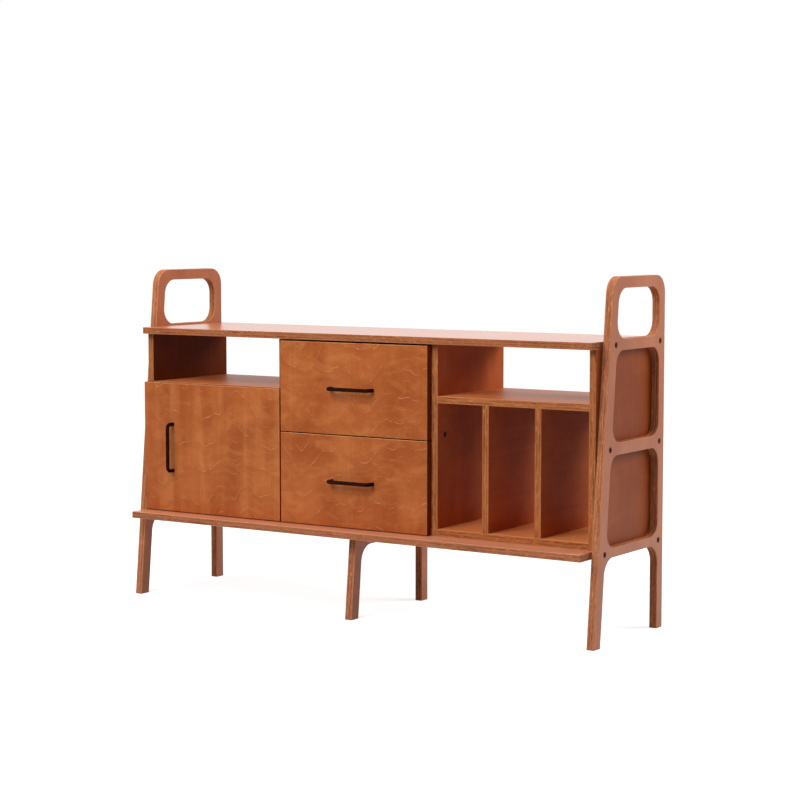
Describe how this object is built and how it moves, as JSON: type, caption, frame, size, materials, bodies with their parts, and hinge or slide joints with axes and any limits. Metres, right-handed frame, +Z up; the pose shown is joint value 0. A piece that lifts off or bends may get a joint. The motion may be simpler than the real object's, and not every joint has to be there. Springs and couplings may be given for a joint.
{
  "type": "credenza",
  "caption": "Plywood credenza on leaning side frames with hand holes, with a hinged door, drawers on telescopic slides, open shelves and record slots.",
  "frame": {"origin": "centre of the bounding box's floor: midway along the credenza, midway between the base board's front edge and the back, at the feet", "axes": "+X to the right seen from the front, +Y to the back, +Z up"},
  "size_m": [1.442, 0.404, 0.9],
  "materials": {
    "stained_plywood": "satin stained birch plywood",
    "front_plywood": "satin stained birch plywood",
    "drawer_plywood": "satin clear birch plywood",
    "beech_dowel": "raw",
    "bronze_handle": "dark bronze, satin",
    "black_steel": "black, satin",
    "zinc_steel": "zinc plated",
    "brass_insert": "plain",
    "brown_plastic": "matte"
  },
  "bodies": {
    "carcass": {"left_end_frame": "stained_plywood", "right_end_frame": "stained_plywood", "centre_leg_frame": "stained_plywood", "top_board": "stained_plywood", "base_board": "stained_plywood", "left_side_panel": "stained_plywood", "right_side_panel": "stained_plywood", "left_divider": "stained_plywood", "right_divider": "stained_plywood", "left_bottom_panel": "stained_plywood", "centre_bottom_panel": "stained_plywood", "right_bottom_panel": "stained_plywood", "left_shelf": "stained_plywood", "right_shelf": "stained_plywood", "left_record_partition": "stained_plywood", "right_record_partition": "stained_plywood", "drawer_rail": "stained_plywood", "left_back_panel": "stained_plywood", "centre_back_panel": "stained_plywood", "leg_screws": "zinc_steel", "board_screws": "zinc_steel", "back_screws": "zinc_steel", "fitting_screws": "zinc_steel", "hinge_arms": "zinc_steel", "slide_cabinet_channels": "zinc_steel", "barrel_nuts": "zinc_steel", "connector_bolts": "black_steel", "panel_bolts": "black_steel", "threaded_inserts": "brass_insert", "dowels": "beech_dowel", "door_catch": "brown_plastic"},
    "door": {"door": "front_plywood", "door_handle": "bronze_handle", "door_handle_screws": "zinc_steel", "hinge_leaves": "zinc_steel", "hinge_pins": "zinc_steel", "catch_plate": "zinc_steel", "door_fitting_screws": "zinc_steel"},
    "upper_drawer": {"upper_drawer_front": "front_plywood", "upper_drawer_left_side": "drawer_plywood", "upper_drawer_right_side": "drawer_plywood", "upper_drawer_inner_front": "drawer_plywood", "upper_drawer_back": "drawer_plywood", "upper_drawer_bottom": "drawer_plywood", "upper_drawer_handle": "bronze_handle", "upper_drawer_screws": "zinc_steel", "upper_drawer_runners": "zinc_steel"},
    "upper_slide_middle": {"upper_slide_middle_channels": "zinc_steel"},
    "lower_drawer": {"lower_drawer_front": "front_plywood", "lower_drawer_left_side": "drawer_plywood", "lower_drawer_right_side": "drawer_plywood", "lower_drawer_inner_front": "drawer_plywood", "lower_drawer_back": "drawer_plywood", "lower_drawer_bottom": "drawer_plywood", "lower_drawer_handle": "bronze_handle", "lower_drawer_screws": "zinc_steel", "lower_drawer_runners": "zinc_steel"},
    "lower_slide_middle": {"lower_slide_middle_channels": "zinc_steel"}
  },
  "joints": [
    {"name": "door_hinge", "type": "hinge", "parent": "carcass", "child": "door", "pos_m": [-0.2385, -0.1408, 0.415], "axis": [0, 0, 1], "range_deg": [0, 90]},
    {"name": "upper_drawer_slide", "type": "slide", "parent": "carcass", "child": "upper_drawer", "axis": [0, -1, 0], "range_m": [0, 0.28]},
    {"name": "upper_middle_slide", "type": "slide", "parent": "carcass", "child": "upper_slide_middle", "axis": [0, -1, 0], "range_m": [0, 0.14]},
    {"name": "lower_drawer_slide", "type": "slide", "parent": "carcass", "child": "lower_drawer", "axis": [0, -1, 0], "range_m": [0, 0.28]},
    {"name": "lower_middle_slide", "type": "slide", "parent": "carcass", "child": "lower_slide_middle", "axis": [0, -1, 0], "range_m": [0, 0.14]}
  ],
  "couplings": [
    {"joint": "upper_middle_slide", "follows": "upper_drawer_slide", "ratio": 0.5},
    {"joint": "lower_middle_slide", "follows": "lower_drawer_slide", "ratio": 0.5}
  ]
}
